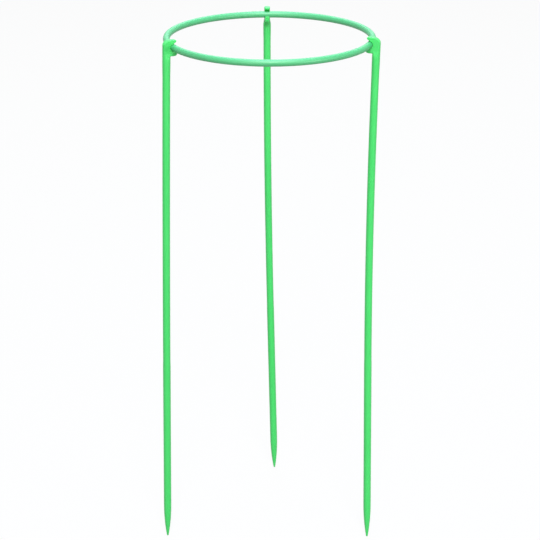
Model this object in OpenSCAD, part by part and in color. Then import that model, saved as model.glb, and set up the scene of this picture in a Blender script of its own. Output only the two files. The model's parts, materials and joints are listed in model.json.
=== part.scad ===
// Plant support: a ring of round rod, carried by three stakes that snap onto it.
// Each stake is one moulding: a clip with two jaws at the top, a round shank
// with a slight bow, and an ogive point. +Z is up, the points stand at z = 0.

/* [Ring] */
// Outer diameter of the ring
ring_d = 153.4; // [110:0.2:240]
// Thickness of the ring's round rod
rod_d = 5; // [3.6:0.1:6.4]

/* [Stakes] */
// Length of a stake, from its point to the top of its clip
stake_l = 400; // [300:5:600]
// Diameter of the shank along its bow
stake_d = 5.7; // [5:0.1:7.6]
// Diameter added to the straight upper shank, under the clip
neck_swell = 0.1; // [0.1:0.05:0.4]
// Length of the straight upper shank, below the flats of the clip
upper_l = 7.5; // [3:0.5:20]
// Length of the straight lower shank, above the point
soil_l = 120; // [60:5:160]
// Diameter added to the lower shank, which goes into the soil
soil_swell = 0.2; // [0.1:0.05:0.6]
// Length over which the shank swells at each end of its bow
swell_l = 6; // [3:0.5:12]
// Length of the ogive point
point_l = 28; // [16:1:44]
// Diameter of the blunt end of the point
tip_d = 1.2; // [0.6:0.1:2.4]

/* [Clip] */
// Play between the rod and the clip, all round
clip_gap = 0.12; // [0.08:0.01:0.2]
// Thickness of the upper jaw over the rod
upper_t = 3; // [2.4:0.1:4.6]
// Thickness of the lower jaw under the rod
lower_t = 3.4; // [2.4:0.1:4.6]
// Width of the clip along the rod
clip_w = 4.2; // [3.6:0.1:4.8]
// Width of the lower jaw's tip along the rod
tip_w = 3.2; // [2.6:0.1:3.6]
// Length by which the upper jaw stops short of the seat's inner side
upper_short = 0.6; // [0.2:0.1:1]
// Length by which the lower jaw goes past the seat's inner side
lower_past = 0.3; // [0.1:0.1:0.8]
// Rounding of the upper jaw's tip
upper_tip_r = 0.8; // [0.4:0.1:1.4]
// Rounding of the lower jaw's tip
lower_tip_r = 2.2; // [1:0.1:2.6]
// Angle before the top of the rod at which the ramp leaves the seat
ramp_from = 14; // [8:1:20]
// Slope of the ramp under the upper jaw, in degrees
ramp_slope = 32; // [26:1:38]
// Angle by which the lower jaw wraps the rod past its underside
lower_wrap = 68; // [58:1:74]
// Slope of the lead-in over the lower jaw's tip, in degrees
lower_lead = 40; // [30:1:50]
// Depth by which the rod is let into the side of the shank
rod_inset = 0.6; // [0.2:0.1:1]
// Trim of the clip's round crown at the outer side of the shank
crown_trim = 0.3; // [0.1:0.1:1]
// Height of the clip's flat sides below the seat
neck_l = 1.4; // [0.4:0.1:3]
// Length over which the flat sides run out into the round shank
runout_l = 4.5; // [2:0.1:8]

/* [Left stake] */
// Place of the left stake round the ring, in degrees from +X
left_place = 203.8; // [185:0.1:225]
// Lean of the left stake outwards at its clip, in degrees
left_lean = 1.55; // [-2:0.05:4]
// Bow of the left stake's shank, in degrees
left_bow = 1.7; // [0:0.05:4]
// Way that the left stake bows, in degrees from outwards
left_bow_way = 234; // [0:1:360]

/* [Right stake] */
// Place of the right stake round the ring, in degrees from +X
right_place = 343; // [315:0.1:355]
// Lean of the right stake outwards at its clip, in degrees
right_lean = -1.25; // [-2:0.05:4]
// Bow of the right stake's shank, in degrees
right_bow = 2.85; // [0:0.05:4]
// Way that the right stake bows, in degrees from outwards
right_bow_way = 333; // [0:1:360]

/* [Back stake] */
// Place of the back stake round the ring, in degrees from +X
back_place = 91.4; // [70:0.1:110]
// Lean of the back stake outwards at its clip, in degrees
back_lean = 0.7; // [-2:0.05:4]
// Bow of the back stake's shank, in degrees
back_bow = 1.35; // [0:0.05:4]
// Way that the back stake bows, in degrees from outwards
back_bow_way = 276; // [0:1:360]

/* [Hidden] */

round_fn = 64;         // sides of round sections
ring_fn = 180;         // steps round the ring
ogive_fn = 720;        // sides of the large circle that gives the ogive
bow_steps = 24;        // steps along a bowed shank
cut = 1;               // how far a cut or a limit runs past the piece

ring_r = (ring_d - rod_d) / 2;                   // radius at the middle of the rod
bore_r = rod_d / 2 + clip_gap;                   // radius of the clip's seat
stake_r = stake_d / 2;
upper_r = stake_r + neck_swell / 2;              // radius of the straight upper shank
soil_r = stake_r + soil_swell / 2;               // radius of the straight lower shank
upper_h = bore_r + upper_t;                      // height of the clip over the rod's middle
lower_h = bore_r + lower_t;                      // depth of the clip under the rod's middle
upper_reach = bore_r - upper_short;              // reach of the upper jaw past the rod's middle
lower_reach = bore_r + lower_past;               // reach of the lower jaw past the rod's middle
axis_x = bore_r - rod_inset + upper_r;           // shank axis, outwards from the rod
outer_x = axis_x + upper_r;                      // outer side of the upper shank
crown_x = outer_x - upper_h + crown_trim;        // outer centre of the clip's round crown
ring_z = stake_l - upper_h;                      // height of the rod's middle
neck_z = bore_r + neck_l;                        // depth at which the flats start to run out
bow_z = neck_z + runout_l + upper_l;             // depth at which the bow begins
bow_l = ring_z - bow_z - soil_l - point_l;       // length of the bowed stretch

plastic = "#5ce07a";
ring_plastic = "#78e29c";

// Run of a shank sideways and downwards, from the start of its bow to its point
function bow_r(bow) = bow_l * 180 / (PI * bow);
function side_run(bow) =
  (bow > 0 ? bow_r(bow) * (1 - cos(bow)) : 0) + (soil_l + point_l) * sin(bow);
function down_run(bow) =
  (bow > 0 ? bow_r(bow) * sin(bow) : bow_l) + (soil_l + point_l) * cos(bow);

// Point of a stake, seen from above, about the ring's axis
function foot(place, lean, bow, bow_way) =
  let (
    out = axis_x + side_run(bow) * cos(bow_way),
    along = side_run(bow) * sin(bow_way),
    reach = ring_r + out * cos(lean) + (bow_z + down_run(bow)) * sin(lean)
  ) [reach * cos(place) - along * sin(place), reach * sin(place) + along * cos(place)];

feet = [
  foot(left_place, left_lean, left_bow, left_bow_way),
  foot(right_place, right_lean, right_bow, right_bow_way),
  foot(back_place, back_lean, back_bow, back_bow_way)
];

// The box round the ring and the feet is centred on the origin
function box_mid(i) =
  (min([-ring_d / 2, for (f = feet) f[i] - soil_r]) +
   max([ring_d / 2, for (f = feet) f[i] + soil_r])) / 2;
ring_x = -box_mid(0);
ring_y = -box_mid(1);

// Outline of the upper jaw and the crown: a slot round the rod and the shank
module upper_form() {
  circle(upper_h, $fn = round_fn);
  translate([crown_x, 0]) circle(upper_h, $fn = round_fn);
  square([crown_x, upper_h]);
}

// Outline of the lower jaw, turned up: round at its tip, straight into the shank
module lower_form() {
  circle(lower_h, $fn = round_fn);
  square([axis_x, lower_h]);
}

// Limit of a jaw over the rod's middle, with a rounded tip, open towards the shank
module jaw_limit(reach, height, tip_r) {
  tip_x = tip_r - reach;
  tip_y = height - tip_r;
  translate([tip_x, -cut]) square([outer_x + cut - tip_x, height + cut]);
  translate([-reach, -cut]) square([2 * tip_r, tip_y + cut]);
  translate([tip_x, tip_y]) circle(tip_r, $fn = round_fn);
}

// Mouth of the clip: from inside the seat, under the ramp and over the lower jaw's lead-in
module mouth() {
  ramp = bore_r * [sin(ramp_from), cos(ramp_from)];
  lip = -bore_r * [sin(lower_wrap), cos(lower_wrap)];
  ramp_way = [-cos(ramp_slope), sin(ramp_slope)];
  lead_way = -[cos(lower_lead), sin(lower_lead)];
  sunk = bore_r * sin(ramp_slope - ramp_from);
  run = lower_reach + 2 * cut;
  polygon([
    ramp - sunk * ramp_way,
    ramp + 2 * run * ramp_way,
    lip + run * lead_way,
    lip - sunk * lead_way
  ]);
}

// Side view of the jaws, with the rod's middle at the origin
module jaws_side() {
  difference() {
    union() {
      intersection() {
        upper_form();
        jaw_limit(upper_reach, upper_h, upper_tip_r);
      }
      mirror([0, 1]) intersection() {
        lower_form();
        jaw_limit(lower_reach, lower_h, lower_tip_r);
      }
    }
    mouth();
  }
}

// Top view of the jaws: round like the shank outside, tapered towards their tips inside
module jaws_top() {
  taper = (clip_w - tip_w) / 2 / lower_reach;
  far_x = lower_reach + cut;
  far_y = tip_w / 2 - cut * taper;
  translate([axis_x, 0]) circle(upper_r, $fn = round_fn);
  polygon([
    [axis_x, clip_w / 2],
    [0, clip_w / 2],
    [-far_x, far_y],
    [-far_x, -far_y],
    [0, -clip_w / 2],
    [axis_x, -clip_w / 2]
  ]);
}

// Jaws of the clip
module jaws() {
  intersection() {
    rotate([90, 0, 0]) linear_extrude(clip_w, center = true) jaws_side();
    translate([0, 0, -lower_h - cut]) linear_extrude(lower_h + upper_h + 2 * cut) jaws_top();
  }
}

// Front view of the upper shank: flat sides as wide as the clip, which run out below it
module flats_front() {
  slope = (upper_r - clip_w / 2) / runout_l;
  wide = upper_r + cut;
  wide_z = neck_z + (wide - clip_w / 2) / slope;
  polygon([
    [clip_w / 2, cut],
    [clip_w / 2, -neck_z],
    [wide, -wide_z],
    [wide, -bow_z - swell_l - cut],
    [-wide, -bow_z - swell_l - cut],
    [-wide, -wide_z],
    [-clip_w / 2, -neck_z],
    [-clip_w / 2, cut]
  ]);
}

// Straight upper shank, which narrows into the bowed shank at its lower end
module upper_shank() {
  intersection() {
    translate([axis_x, 0, 0]) rotate_extrude($fn = round_fn) polygon([
      [0, 0],
      [upper_r, 0],
      [upper_r, -bow_z],
      [upper_r - neck_swell, -bow_z - swell_l],
      [0, -bow_z - swell_l]
    ]);
    rotate([90, 0, 90]) linear_extrude(2 * outer_x) flats_front();
  }
}

// Clip and upper shank, with the seat of the rod along Y
module clip() {
  difference() {
    union() {
      jaws();
      upper_shank();
    }
    rotate([90, 0, 0]) cylinder(h = clip_w + 2 * cut, r = bore_r, center = true, $fn = round_fn);
  }
}

// Half outline of the ogive point, downwards from the origin, with a rounded end
module point_half() {
  narrowing = soil_r - tip_d / 2;
  ogive_r = (point_l * point_l + narrowing * narrowing) / (2 * narrowing);
  intersection() {
    translate([soil_r - ogive_r, 0]) circle(ogive_r, $fn = ogive_fn);
    translate([0, -point_l]) square([soil_r, point_l]);
    union() {
      translate([0, tip_d - point_l]) circle(tip_d, $fn = round_fn);
      translate([0, tip_d - point_l]) square([soil_r, point_l]);
    }
  }
}

// Half outline of the lower shank and its point, downwards from the origin.
// Its top swells out of the bowed shank, which runs on to the origin inside it.
module shank_half() {
  translate([0, -soil_l]) square([soil_r, soil_l]);
  polygon([[0, 0], [soil_r, 0], [soil_r - soil_swell, swell_l], [0, swell_l]]);
  translate([0, -soil_l]) point_half();
}

// Lower shank and point, straight, along -Z
module lower_shank() {
  rotate_extrude($fn = round_fn) shank_half();
}

// Shank below the clip: a bow in the XZ plane towards +X, then the lower shank
module bowed_shank(bow) {
  if (bow > 0) {
    r = bow_r(bow);
    translate([r, 0, 0]) rotate([90, 0, 0]) rotate([0, 0, 180])
      rotate_extrude(angle = bow, $fn = bow_steps * 360 / bow)
        translate([r, 0]) circle(stake_r, $fn = round_fn);
    translate([r * (1 - cos(bow)), 0, -r * sin(bow)]) rotate([0, -bow, 0]) lower_shank();
  } else {
    translate([0, 0, -bow_l]) {
      cylinder(h = bow_l, r = stake_r, $fn = round_fn);
      lower_shank();
    }
  }
}

// Whole stake about the middle of the rod, +X outwards from the ring
module stake(bow, bow_way) {
  clip();
  translate([axis_x, 0, -bow_z]) rotate([0, 0, bow_way]) bowed_shank(bow);
}

// Stake at its place on the ring
module placed_stake(place, lean, bow, bow_way) {
  translate([ring_x, ring_y, ring_z]) rotate([0, 0, place]) translate([ring_r, 0, 0])
    rotate([0, -lean, 0]) stake(bow, bow_way);
}

module ring() {
  color(ring_plastic) translate([ring_x, ring_y, ring_z])
    rotate_extrude($fn = ring_fn) translate([ring_r, 0]) circle(rod_d / 2, $fn = round_fn);
}

module left_stake() {
  color(plastic) placed_stake(left_place, left_lean, left_bow, left_bow_way);
}

module right_stake() {
  color(plastic) placed_stake(right_place, right_lean, right_bow, right_bow_way);
}

module back_stake() {
  color(plastic) placed_stake(back_place, back_lean, back_bow, back_bow_way);
}

ring();
left_stake();
right_stake();
back_stake();
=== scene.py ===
import json
from math import acos, atan2, cos, degrees, hypot, pi, radians, sin, sqrt, tan

import bmesh
import bpy
from mathutils import Matrix, Vector


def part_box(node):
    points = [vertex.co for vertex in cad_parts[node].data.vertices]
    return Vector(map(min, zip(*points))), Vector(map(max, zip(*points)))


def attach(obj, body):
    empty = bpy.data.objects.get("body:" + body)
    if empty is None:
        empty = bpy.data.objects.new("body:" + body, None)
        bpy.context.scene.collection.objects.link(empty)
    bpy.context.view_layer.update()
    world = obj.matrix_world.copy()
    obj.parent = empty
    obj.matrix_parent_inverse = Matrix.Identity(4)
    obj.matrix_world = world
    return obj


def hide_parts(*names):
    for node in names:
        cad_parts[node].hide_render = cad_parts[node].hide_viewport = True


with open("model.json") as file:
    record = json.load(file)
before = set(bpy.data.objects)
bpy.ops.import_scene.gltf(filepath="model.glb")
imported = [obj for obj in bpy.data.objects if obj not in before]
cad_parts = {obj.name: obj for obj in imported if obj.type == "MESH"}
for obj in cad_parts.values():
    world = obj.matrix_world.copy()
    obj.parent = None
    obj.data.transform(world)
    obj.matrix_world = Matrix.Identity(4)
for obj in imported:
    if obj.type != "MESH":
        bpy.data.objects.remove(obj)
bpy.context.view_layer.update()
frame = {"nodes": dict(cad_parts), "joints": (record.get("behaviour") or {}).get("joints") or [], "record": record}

mm = 0.001
scene = bpy.context.scene
scene.view_settings.view_transform = "Standard"
print("frame loaded:", sorted(frame["nodes"]))


# ring plastic and stake plastic: satin mouldings with flow marks and a fine grain
ringFinish = {
    "pale": (0.074, 0.524, 0.198),
    "deep": (0.063, 0.489, 0.176),
    "gloss": (0.43, 0.49),              # roughness, from and to
    "shine": 0.95,                      # level of the gloss, 0.5 is plain
    "cloudSize": 24 * mm,               # size of the soft clouds in the colour
    "flowSize": (4 * mm, 4 * mm, 4 * mm),
    "grainSize": 1.2 * mm,
    "flowDepth": 0.006 * mm,
    "grainDepth": 0.002 * mm,
}
stakeFinish = {
    "pale": (0.070, 0.752, 0.161),
    "deep": (0.058, 0.707, 0.143),
    "gloss": (0.38, 0.44),
    "shine": 0.5,
    "cloudSize": 30 * mm,
    "flowSize": (2 * mm, 2 * mm, 30 * mm),       # drawn out along the shank
    "grainSize": 1.2 * mm,
    "flowDepth": 0.006 * mm,
    "grainDepth": 0.002 * mm,
}
# what both plastics share
plastic = {
    "ior": 1.5,
    "glowDepth": 0.8 * mm,              # how far light soaks in
    "glowShare": 0.12,
    "glowSpread": (0.5, 1, 0.6),        # red, green and blue, as shares of that depth
    "cloudDetail": 4,
    "flowDetail": 3,
    "grainDetail": 2,
    "flowShare": 0.4,                   # flow marks in the tint, the rest is clouds
    "tintRange": (0.34, 0.66),          # noise levels for all deep and all pale
    "glossRange": (0.3, 0.7),           # noise levels for the two ends of the gloss
}


def noiseNode(nodes, links, coords, size, detail):
    mapping = nodes.new("ShaderNodeMapping")
    sizes = size if isinstance(size, tuple) else (size, size, size)
    mapping.inputs["Scale"].default_value = [1 / s for s in sizes]
    links.new(coords, mapping.inputs["Vector"])
    noise = nodes.new("ShaderNodeTexNoise")
    noise.inputs["Scale"].default_value = 1
    noise.inputs["Detail"].default_value = detail
    links.new(mapping.outputs["Vector"], noise.inputs["Vector"])
    return noise.outputs["Fac"]


def bumpNode(nodes, links, height, depth, before=None):
    bump = nodes.new("ShaderNodeBump")
    bump.inputs["Strength"].default_value = 1
    bump.inputs["Distance"].default_value = depth
    links.new(height, bump.inputs["Height"])
    if before is not None:
        links.new(before, bump.inputs["Normal"])
    return bump.outputs["Normal"]


def plasticMaterial(name, finish):
    material = bpy.data.materials.new(name)
    material.use_nodes = True
    nodes = material.node_tree.nodes
    links = material.node_tree.links
    shader = nodes["Principled BSDF"]
    coords = nodes.new("ShaderNodeTexCoord").outputs["Object"]

    clouds = noiseNode(nodes, links, coords, finish["cloudSize"], plastic["cloudDetail"])
    flow = noiseNode(nodes, links, coords, finish["flowSize"], plastic["flowDetail"])
    grain = noiseNode(nodes, links, coords, finish["grainSize"], plastic["grainDetail"])

    tint = nodes.new("ShaderNodeMix")
    tint.data_type = "FLOAT"
    tint.inputs["Factor"].default_value = plastic["flowShare"]
    links.new(clouds, tint.inputs["A"])
    links.new(flow, tint.inputs["B"])

    ramp = nodes.new("ShaderNodeValToRGB")
    deepEnd, paleEnd = ramp.color_ramp.elements
    deepEnd.position, paleEnd.position = plastic["tintRange"]
    deepEnd.color = finish["deep"] + (1,)
    paleEnd.color = finish["pale"] + (1,)
    links.new(tint.outputs["Result"], ramp.inputs["Fac"])
    links.new(ramp.outputs["Color"], shader.inputs["Base Color"])

    gloss = nodes.new("ShaderNodeMapRange")
    gloss.inputs["From Min"].default_value = plastic["glossRange"][0]
    gloss.inputs["From Max"].default_value = plastic["glossRange"][1]
    gloss.inputs["To Min"].default_value = finish["gloss"][0]
    gloss.inputs["To Max"].default_value = finish["gloss"][1]
    links.new(flow, gloss.inputs["Value"])
    links.new(gloss.outputs["Result"], shader.inputs["Roughness"])

    flowBump = bumpNode(nodes, links, flow, finish["flowDepth"])
    grainBump = bumpNode(nodes, links, grain, finish["grainDepth"], flowBump)
    links.new(grainBump, shader.inputs["Normal"])

    shader.inputs["IOR"].default_value = plastic["ior"]
    shader.inputs["Specular IOR Level"].default_value = finish["shine"]
    shader.inputs["Subsurface Weight"].default_value = plastic["glowShare"]
    shader.inputs["Subsurface Radius"].default_value = plastic["glowSpread"]
    shader.inputs["Subsurface Scale"].default_value = plastic["glowDepth"]
    return material


ringPlastic = plasticMaterial("ringPlastic", ringFinish)
stakePlastic = plasticMaterial("stakePlastic", stakeFinish)
print("materials made")


mergeGap = 0.00001 * mm                 # points nearer than this become one


def finishPiece(bm, name, material, body, node):
    bmesh.ops.remove_doubles(bm, verts=bm.verts[:], dist=mergeGap)
    bmesh.ops.recalc_face_normals(bm, faces=bm.faces[:])
    for face in bm.faces:
        face.smooth = True
    mesh = bpy.data.meshes.new(name)
    bm.to_mesh(mesh)
    bm.free()
    mesh.materials.append(material)
    piece = bpy.data.objects.new(name, mesh)
    scene.collection.objects.link(piece)
    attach(piece, body)
    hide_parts(node)
    print(name, "made,", len(mesh.polygons), "faces")


def vertsOf(geom):
    return [part for part in geom if isinstance(part, bmesh.types.BMVert)]


def edgesOf(geom):
    return [part for part in geom if isinstance(part, bmesh.types.BMEdge)]


# lifts the two points of a circle that lie on the mould's parting plane
def raiseSeam(circle, height):
    for vert in circle:
        if abs(vert.co.y) < height:
            vert.co.x += height * (1 if vert.co.x > 0 else -1)


# the ring: round rod, with the fine line where the two halves of its mould met
ring = {
    "rodSides": 72,
    "steps": 240,
    "seamHeight": 0.04 * mm,
    "inset": 0.01 * mm,                 # keeps the rod inside the solid's own facets
}


def makeRing():
    low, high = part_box("ring")
    rodRadius = (high.z - low.z) / 2 - ring["inset"]
    turnRadius = (high.x - low.x) / 2 - ring["inset"] - rodRadius
    bm = bmesh.new()
    made = bmesh.ops.create_circle(
        bm, segments=ring["rodSides"], radius=rodRadius - ring["seamHeight"])
    raiseSeam(made["verts"], ring["seamHeight"])
    bmesh.ops.rotate(bm, verts=bm.verts[:], cent=(0, 0, 0),
                     matrix=Matrix.Rotation(pi / 2, 3, "X"))
    bmesh.ops.translate(bm, verts=bm.verts[:], vec=(turnRadius, 0, 0))
    bmesh.ops.spin(bm, geom=bm.verts[:] + bm.edges[:], cent=(0, 0, 0), axis=(0, 0, 1),
                   angle=2 * pi, steps=ring["steps"], use_merge=True, use_duplicate=False)
    bmesh.ops.translate(bm, verts=bm.verts[:], vec=(low + high) / 2)
    finishPiece(bm, "ring_rod", ringPlastic, "ring", "ring")


makeRing()


# the clip, in millimetres: the rod's middle is the origin, +X points away from the ring,
# Y runs along the rod, Z is up
clip = {
    "seatRadius": 2.62,
    "upperHeight": 5.62,
    "lowerHeight": 6.02,
    "upperReach": 2.02,                 # how far the jaws reach past the rod's middle
    "lowerReach": 2.92,
    "upperTipRadius": 0.8,
    "lowerTipRadius": 2.2,
    "rampFrom": 14,                     # degrees before the top of the seat
    "rampSlope": 32,
    "lowerWrap": 68,                    # degrees past the bottom of the seat
    "lowerLead": 40,
    "axisOut": 4.92,                    # shank axis, away from the rod
    "upperRadius": 2.9,
    "crownOut": 2.5,
    "width": 4.2,
    "tipWidth": 3.2,
    "neckDepth": 4.02,                  # where the flat sides start to run out
    "runoutLength": 4.5,
    "cutDepth": 12.5,                   # where the clip's mesh meets the shank's
    "stubSpare": 2,                     # stub below that, which the cut takes off
    "stubSides": 96,
    "bowDepth": 16.02,                  # where the bow of the shank starts
    "arcStep": 4,                       # degrees for each step of a round stretch
    "widthCuts": 11,
    "edgeRound": 0.6,                   # rounding along the outer edges of the jaws
    "edgeSteps": 5,
    "edgeClear": 1.5,                   # edges this near to the seat are left out of that
    "softness": 0.13,                   # size of the net that rounds the rest
    "softTurns": 8,
    "softPull": 0.5,                    # how far each turn draws a point to its neighbours
    "closeGap": 0.001,                  # the ends of the outline meet within this
    "cutSnap": 0.0001,                  # a cut takes points this near as its own
}


def lineTo(bm, pen, x, z):
    new = bmesh.ops.extrude_vert_indiv(bm, verts=[pen])["verts"][0]
    new.co = (x, pen.co.y, z)
    return new


def arcTo(bm, pen, centre, turn):
    steps = max(2, round(abs(turn) / clip["arcStep"]))
    made = bmesh.ops.spin(bm, geom=[pen], cent=(centre[0], pen.co.y, centre[1]),
                          axis=(0, -1, 0), angle=radians(turn), steps=steps,
                          use_merge=False, use_duplicate=False)
    return vertsOf(made["geom_last"])[0]


# angles at which a tip's rounding meets a jaw's round back: about the tip and about the rod
def tipMeeting(centre, tipRadius, backRadius):
    far = hypot(*centre)
    spread = acos((backRadius ** 2 - far ** 2 - tipRadius ** 2) / (2 * far * tipRadius))
    side = 1 if centre[1] > 0 else -1
    tipAngle = atan2(centre[1], centre[0]) + side * spread
    backAngle = atan2(centre[1] + tipRadius * sin(tipAngle),
                      centre[0] + tipRadius * cos(tipAngle))
    return degrees(tipAngle), degrees(backAngle)


# the outline of both jaws in one pass: ramp, hook, crown, outer side, lower jaw, lip, seat
def drawJaws(bm):
    seat = clip["seatRadius"]
    upper, lower = clip["upperHeight"], clip["lowerHeight"]
    upperReach, lowerReach = clip["upperReach"], clip["lowerReach"]
    upperTip = (clip["upperTipRadius"] - upperReach, upper - clip["upperTipRadius"])
    lowerTip = (clip["lowerTipRadius"] - lowerReach, clip["lowerTipRadius"] - lower)
    rampX = seat * sin(radians(clip["rampFrom"]))
    rampZ = seat * cos(radians(clip["rampFrom"]))
    lipX = -seat * sin(radians(clip["lowerWrap"]))
    lipZ = -seat * cos(radians(clip["lowerWrap"]))
    outerX = clip["crownOut"] + upper

    start = bm.verts.new((rampX, -clip["width"] / 2, rampZ))
    slope = tan(radians(clip["rampSlope"]))
    pen = lineTo(bm, start, -upperReach, rampZ + (rampX + upperReach) * slope)
    pen = lineTo(bm, pen, -upperReach, upperTip[1])
    tipAngle, backAngle = tipMeeting(upperTip, clip["upperTipRadius"], upper)
    pen = arcTo(bm, pen, upperTip, tipAngle - 180)
    pen = arcTo(bm, pen, (0, 0), 90 - backAngle)
    pen = lineTo(bm, pen, clip["crownOut"], upper)
    pen = arcTo(bm, pen, (clip["crownOut"], 0), -90)
    pen = lineTo(bm, pen, outerX, -lower)
    pen = lineTo(bm, pen, 0, -lower)
    tipAngle, backAngle = tipMeeting(lowerTip, clip["lowerTipRadius"], lower)
    pen = arcTo(bm, pen, (0, 0), backAngle + 90)
    pen = arcTo(bm, pen, lowerTip, -180 - tipAngle)
    lead = tan(radians(clip["lowerLead"]))
    pen = lineTo(bm, pen, -lowerReach, lipZ - (lipX + lowerReach) * lead)
    pen = lineTo(bm, pen, lipX, lipZ)
    arcTo(bm, pen, (0, 0), 180 + clip["lowerWrap"] - clip["rampFrom"])
    bmesh.ops.remove_doubles(bm, verts=bm.verts[:], dist=clip["closeGap"])
    return bmesh.ops.contextual_create(bm, geom=bm.edges[:])["faces"]


# true for the edges away from the seat and the mouth
def isOuter(edge):
    middle = (edge.verts[0].co + edge.verts[1].co) / 2
    far = hypot(middle.x, middle.z)
    return far > clip["seatRadius"] + clip["edgeClear"]


# true for the edges that cross the jaws from one flat side towards the other
def runsAcross(edge):
    return abs(edge.verts[0].co.y - edge.verts[1].co.y) > clip["width"] / 4


# cuts a whole bmesh with a plane, and drops what lies past the plane if asked to
def cutThrough(bm, point, normal, clear=False):
    whole = bm.verts[:] + bm.edges[:] + bm.faces[:]
    made = bmesh.ops.bisect_plane(bm, geom=whole, dist=clip["cutSnap"], plane_co=point,
                                  plane_no=normal, clear_outer=clear)
    return made["geom_cut"]


def makeJaws():
    bm = bmesh.new()
    faces = drawJaws(bm)
    made = bmesh.ops.extrude_face_region(bm, geom=faces, use_keep_orig=True)
    bmesh.ops.translate(bm, verts=vertsOf(made["geom"]), vec=(0, clip["width"], 0))
    bmesh.ops.recalc_face_normals(bm, faces=bm.faces[:])
    outer = [e for e in bm.edges if isOuter(e) and not runsAcross(e)]
    bmesh.ops.bevel(bm, geom=outer, offset=clip["edgeRound"], offset_type="OFFSET",
                    affect="EDGES", segments=clip["edgeSteps"], profile=0.5, material=-1)
    across = [e for e in bm.edges if runsAcross(e)]
    bmesh.ops.subdivide_edges(bm, edges=across, cuts=clip["widthCuts"])
    cutThrough(bm, (0, 0, 0), (1, 0, 0))           # points where the taper starts
    taper = (1 - clip["tipWidth"] / clip["width"]) / clip["lowerReach"]
    for vert in bm.verts:
        outerSide = clip["axisOut"] + sqrt(clip["upperRadius"] ** 2 - vert.co.y ** 2)
        vert.co.x = min(vert.co.x, outerSide)      # round like the shank on the outer side
        vert.co.y *= 1 + taper * min(vert.co.x, 0)
    bmesh.ops.recalc_face_normals(bm, faces=bm.faces[:])
    return bm


# a length of upper shank between two depths, cut flat by planes on both sides
def addStub(bm, top, bottom, halfWidth, slope):
    stub = bmesh.new()
    place = Matrix.Translation((clip["axisOut"], 0, -(top + bottom) / 2))
    bmesh.ops.create_cone(stub, cap_ends=True, segments=clip["stubSides"],
                          radius1=clip["upperRadius"], radius2=clip["upperRadius"],
                          depth=bottom - top, matrix=place)
    for side in (1, -1):
        start = (0, side * halfWidth, -clip["neckDepth"])
        cut = cutThrough(stub, start, (0, side, slope), clear=True)
        bmesh.ops.edgeloop_fill(stub, edges=edgesOf(cut))
    bmesh.ops.recalc_face_normals(stub, faces=stub.faces[:])
    mesh = bpy.data.meshes.new("stub")
    stub.to_mesh(mesh)
    stub.free()
    bm.from_mesh(mesh)
    bpy.data.meshes.remove(mesh)


# the whole clip with rounded edges, open at its lower end
def makeClip():
    bm = makeJaws()
    half = clip["width"] / 2
    slope = (clip["upperRadius"] - half) / clip["runoutLength"]
    addStub(bm, clip["neckDepth"], clip["cutDepth"] + clip["stubSpare"], half, slope)
    mesh = bpy.data.meshes.new("clip")
    bm.to_mesh(mesh)
    bm.free()
    rough = bpy.data.objects.new("clip", mesh)
    scene.collection.objects.link(rough)
    soften = rough.modifiers.new("soften", "REMESH")
    soften.mode = "VOXEL"
    soften.voxel_size = clip["softness"]
    soften.use_smooth_shade = True
    soft = bpy.data.meshes.new_from_object(rough.evaluated_get(
        bpy.context.evaluated_depsgraph_get()))
    bm = bmesh.new()
    bm.from_mesh(soft)
    for turn in range(clip["softTurns"]):
        bmesh.ops.smooth_vert(bm, verts=bm.verts[:], factor=clip["softPull"],
                              use_axis_x=True, use_axis_y=True, use_axis_z=True)
    cutThrough(bm, (0, 0, -clip["cutDepth"]), (0, 0, -1), clear=True)
    bm.to_mesh(soft)
    bm.free()
    bpy.data.objects.remove(rough)
    bpy.data.meshes.remove(mesh)
    print("clip made,", len(soft.polygons), "faces")
    return soft


clipMesh = makeClip()


# the shank, in millimetres, with the mould's parting line down its two sides
shank = {
    "radius": 2.85,
    "pointLength": 28,
    "tipRadius": 0.6,
    "domeRadius": 1.2,                  # rounding at the very end of the point
    "sides": 72,
    "bowSteps": 48,
    "lowerSteps": 24,
    "pointSteps": 28,
    "seamHeight": 0.04,
    "inset": 0.03,                      # keeps the shank inside the solid's own facets
    "lastRadius": 0.001,                # smallest loop, before the point is closed
}
# lean of each stake outwards at its clip, in degrees, and its joint and mount in the frame
stakes = {
    "left_stake": {"lean": 1.55, "joint": "left_swing", "mount": "left_shank"},
    "right_stake": {"lean": -1.25, "joint": "right_swing", "mount": "right_shank"},
    "back_stake": {"lean": 0.7, "joint": "back_swing", "mount": "back_shank"},
}


def named(rows, name):
    return next(row for row in rows if row["name"] == name)


# from the clip's millimetres to the frame's metres, at a joint on the ring
def stakePlace(joint, lean):
    alongRod = Vector(joint["axis"])
    outwards = Vector((-alongRod.y, alongRod.x, 0))
    axes = Matrix((outwards, -alongRod, (0, 0, 1))).transposed().to_4x4()
    leaning = Matrix.Rotation(radians(-lean), 4, "Y")
    return Matrix.Translation(joint["pos_m"]) @ axes @ leaning @ Matrix.Scale(mm, 4)


# radius of the ogive point at a distance below the straight shank
def pointRadius(along, full):
    narrowing = full - shank["tipRadius"]
    ogive = (shank["pointLength"] ** 2 + narrowing ** 2) / (2 * narrowing)
    pointed = sqrt(ogive ** 2 - along ** 2) - ogive + full
    dome = shank["domeRadius"]
    ahead = shank["pointLength"] - along
    rounded = sqrt(max(0, dome ** 2 - (dome - ahead) ** 2)) if ahead < dome else full
    return min(pointed, rounded)


def scaleLoop(bm, verts, factor):
    centre = sum((v.co for v in verts), Vector()) / len(verts)
    bmesh.ops.scale(bm, verts=verts, vec=(factor, factor, factor),
                    space=Matrix.Translation(-centre))


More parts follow.
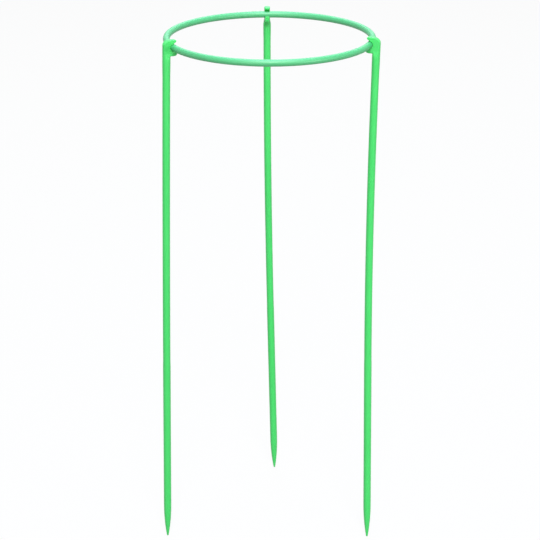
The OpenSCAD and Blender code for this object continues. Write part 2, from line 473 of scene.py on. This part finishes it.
def pullLoop(bm, edges, step):
    made = bmesh.ops.extrude_edge_only(bm, edges=edges)["geom"]
    verts = vertsOf(made)
    bmesh.ops.translate(bm, verts=verts, vec=step)
    newEdges = [e for e in edgesOf(made) if e.verts[0] in verts and e.verts[1] in verts]
    return verts, newEdges


# the bow, from under the clip to the top of the straight lower shank
def drawBow(bm, lowerTop, lowerWay, lowerRadius):
    upperEnd = Vector((clip["axisOut"], 0, -clip["bowDepth"]))
    upperWay = Vector((0, 0, -1))
    bow = upperWay.angle(lowerWay)
    bowRadius = (lowerTop - upperEnd).length / (2 * sin(bow / 2))
    turnAxis = upperWay.cross(lowerWay).normalized()
    bowCentre = upperEnd + turnAxis.cross(upperWay) * bowRadius
    seam = shank["seamHeight"]
    radius = shank["radius"] - shank["inset"] - seam
    made = bmesh.ops.create_circle(bm, segments=shank["sides"], radius=radius)
    raiseSeam(made["verts"], seam)
    bmesh.ops.translate(bm, verts=bm.verts[:], vec=upperEnd)
    topVerts = bm.verts[:]
    made = bmesh.ops.spin(bm, geom=topVerts + bm.edges[:], cent=bowCentre, axis=turnAxis,
                          angle=bow, steps=shank["bowSteps"], use_merge=False,
                          use_duplicate=False)["geom_last"]
    scaleLoop(bm, topVerts, (clip["upperRadius"] - seam) / radius)
    scaleLoop(bm, vertsOf(made), lowerRadius / radius)
    return edgesOf(made)


# the point: loops that get closer towards its end
def drawPoint(bm, edges, way, full):
    length = shank["pointLength"] - shank["inset"]
    along, last = 0, full
    for turn in range(1, shank["pointSteps"] + 1):
        there = length * sin(pi / 2 * turn / shank["pointSteps"])
        verts, edges = pullLoop(bm, edges, way * (there - along))
        now = max(pointRadius(there, full), shank["lastRadius"])
        scaleLoop(bm, verts, now / last)
        along, last = there, now
    tip = (verts[0].co + verts[len(verts) // 2].co) / 2
    bmesh.ops.pointmerge(bm, verts=verts, merge_co=tip)


def makeStake(name):
    row = stakes[name]
    mount = named(frame["record"]["mounts"], row["mount"])
    place = stakePlace(named(frame["joints"], row["joint"]), row["lean"])
    toClip = place.inverted()
    lowerWay = (toClip.to_3x3() @ Vector(mount["axis"])).normalized()
    lowerLength = mount["dims"]["length_mm"]
    lowerTop = toClip @ Vector(mount["pos_m"]) - lowerWay * lowerLength / 2
    lowerRadius = mount["dims"]["r_mm"] - shank["inset"] - shank["seamHeight"]

    bm = bmesh.new()
    edges = drawBow(bm, lowerTop, lowerWay, lowerRadius)
    for turn in range(shank["lowerSteps"]):
        edges = pullLoop(bm, edges, lowerWay * lowerLength / shank["lowerSteps"])[1]
    drawPoint(bm, edges, lowerWay, lowerRadius)

    bm.from_mesh(clipMesh)
    rim = [e for e in bm.edges if e.is_boundary]
    bmesh.ops.bridge_loops(bm, edges=rim)          # clip to shank
    bmesh.ops.transform(bm, matrix=place, verts=bm.verts[:])
    finishPiece(bm, name + "_moulding", stakePlastic, name, name)


for stakeName in stakes:
    makeStake(stakeName)
bpy.data.meshes.remove(clipMesh)


# the floor and the light: a white floor, lit softly from above and from the front
studio = {
    "floorSize": 60,
    "floorWhite": (0.75, 0.75, 0.75),   # as the camera sees it
    "floorGrey": (0.26, 0.26, 0.26),    # as it lights the object from below
    "floorGlow": 0.93,                  # share of the floor's white that takes no shadow
    "worldWhite": 0.94,                 # as white as the far floor, so no horizon shows
    "worldGrey": 0.22,                  # as it lights the object from all round
    "plainWhite": (1, 1, 1, 1),
}
# lamps: round, in metres and watts, turned to a height on the Z axis
lamps = {
    "overhead": {"size": 0.75, "power": 8.5, "colour": (0.58, 0.74, 1.0),
                 "place": (0, -0.1, 1.5), "aimHeight": 0.39},
    "back": {"size": 1.5, "power": 15, "colour": (0.75, 0.9, 1.0),
             "place": (0, 1.3, 1.6), "aimHeight": 0.3},
    "key": {"size": 1.5, "power": 140, "colour": (1.0, 1.0, 1.0),
            "place": (0.2, -3.0, 3.54), "aimHeight": 0.39},
    "front": {"size": 1.2, "power": 17, "colour": (1.0, 1.0, 1.0),
              "place": (-1.3, -3.0, 0.35), "aimHeight": 0.1},
    "side": {"size": 0.4, "power": 6.5, "colour": (1.0, 1.0, 1.0),
             "place": (1.2, -1.15, 0.45), "aimHeight": 0.3},
}


# 1 where the camera, a reflection or a clear piece looks, 0 where light is gathered
def seenWhite(nodes, links):
    path = nodes.new("ShaderNodeLightPath")
    total = path.outputs["Is Camera Ray"]
    for ray in ("Is Glossy Ray", "Is Transmission Ray"):
        larger = nodes.new("ShaderNodeMath")
        larger.operation = "MAXIMUM"
        links.new(total, larger.inputs[0])
        links.new(path.outputs[ray], larger.inputs[1])
        total = larger.outputs["Value"]
    return total


def floorMaterial():
    material = bpy.data.materials.new("floorWhite")
    material.use_nodes = True
    nodes = material.node_tree.nodes
    links = material.node_tree.links
    nodes.clear()
    matt = nodes.new("ShaderNodeBsdfDiffuse")
    paint = nodes.new("ShaderNodeMix")
    paint.data_type = "RGBA"
    paint.inputs["A"].default_value = studio["floorGrey"] + (1,)
    paint.inputs["B"].default_value = studio["floorWhite"] + (1,)
    links.new(paint.outputs["Result"], matt.inputs["Color"])
    glow = nodes.new("ShaderNodeEmission")
    glow.inputs["Color"].default_value = studio["plainWhite"]
    seen = seenWhite(nodes, links)
    links.new(seen, paint.inputs["Factor"])
    share = nodes.new("ShaderNodeMath")
    share.operation = "MULTIPLY"
    share.inputs[1].default_value = studio["floorGlow"]
    links.new(seen, share.inputs[0])
    mix = nodes.new("ShaderNodeMixShader")
    links.new(share.outputs[0], mix.inputs["Fac"])
    links.new(matt.outputs["BSDF"], mix.inputs[1])
    links.new(glow.outputs["Emission"], mix.inputs[2])
    output = nodes.new("ShaderNodeOutputMaterial")
    links.new(mix.outputs["Shader"], output.inputs["Surface"])
    return material


def makeFloor():
    bm = bmesh.new()
    bmesh.ops.create_grid(bm, x_segments=1, y_segments=1, size=studio["floorSize"] / 2)
    mesh = bpy.data.meshes.new("floor")
    bm.to_mesh(mesh)
    bm.free()
    floor = bpy.data.objects.new("floor", mesh)
    scene.collection.objects.link(floor)
    mesh.materials.append(floorMaterial())


def makeWorld():
    world = bpy.data.worlds.new("studioWhite")
    scene.world = world
    world.use_nodes = True
    nodes = world.node_tree.nodes
    links = world.node_tree.links
    background = nodes["Background"]
    background.inputs["Color"].default_value = studio["plainWhite"]
    strength = nodes.new("ShaderNodeMix")
    strength.data_type = "FLOAT"
    strength.inputs["A"].default_value = studio["worldGrey"]
    strength.inputs["B"].default_value = studio["worldWhite"]
    links.new(seenWhite(nodes, links), strength.inputs["Factor"])
    links.new(strength.outputs["Result"], background.inputs["Strength"])


def addLamp(name, size, power, colour, place, aimHeight):
    lamp = bpy.data.lights.new(name, "AREA")
    lamp.shape = "DISK"
    lamp.size = size
    lamp.energy = power
    lamp.color = colour
    holder = bpy.data.objects.new(name, lamp)
    scene.collection.objects.link(holder)
    holder.location = place
    aim = Vector((0, 0, aimHeight)) - Vector(place)
    holder.rotation_euler = aim.to_track_quat("-Z", "Y").to_euler()


makeFloor()
makeWorld()
for lampName, lampRow in lamps.items():
    addLamp(lampName, **lampRow)
print("floor and light made")


# the camera: a long lens from the front, looking down a little
view = {
    "distance": 1257.7 * mm,
    "down": 21.503,                     # degrees
    "aimHeight": 214.36 * mm,
    "aimAside": 0.3 * mm,               # aim to the right of the ring's axis
    "focalPixels": 1655.6,
    "imageWidth": 540,
    "sensorWidth": 36,                  # the camera's own millimetres
    "nearest": 10 * mm,
}


def makeCamera():
    lens = bpy.data.cameras.new("camera")
    lens.sensor_fit = "HORIZONTAL"
    lens.sensor_width = view["sensorWidth"]
    lens.lens = view["focalPixels"] / view["imageWidth"] * view["sensorWidth"]
    lens.clip_start = view["nearest"]
    camera = bpy.data.objects.new("camera", lens)
    scene.collection.objects.link(camera)
    low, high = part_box("ring")
    ringMiddle = (low + high) / 2
    down = radians(view["down"])
    camera.location = (ringMiddle.x + view["aimAside"],
                       ringMiddle.y - view["distance"] * cos(down),
                       view["aimHeight"] + view["distance"] * sin(down))
    camera.rotation_euler = (pi / 2 - down, 0, 0)
    scene.camera = camera


makeCamera()
print("camera made")
